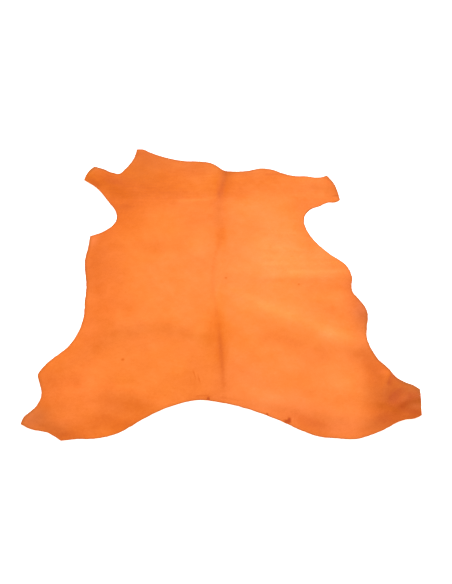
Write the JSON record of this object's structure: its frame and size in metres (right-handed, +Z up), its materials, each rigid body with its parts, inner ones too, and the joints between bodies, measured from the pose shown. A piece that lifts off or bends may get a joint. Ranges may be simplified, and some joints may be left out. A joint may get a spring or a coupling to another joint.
{
  "type": "leather hide",
  "caption": "Whole tanned goat-size leather hide lying flat grain side up, with leg tabs, a backbone crease and shallow storage folds.",
  "frame": {"origin": "on the surface that the hide lies on, under the middle of its box", "axes": "+X across the hide to its right legs, +Y along the backbone from the hind legs to the neck, +Z up"},
  "size_m": [0.801, 0.949, 0.0176],
  "materials": {
    "leather": "smooth aniline-dyed grain with a soft sheen on top, pale napped flesh side underneath"
  },
  "bodies": {
    "root": {"hide": "leather"}
  },
  "joints": []
}
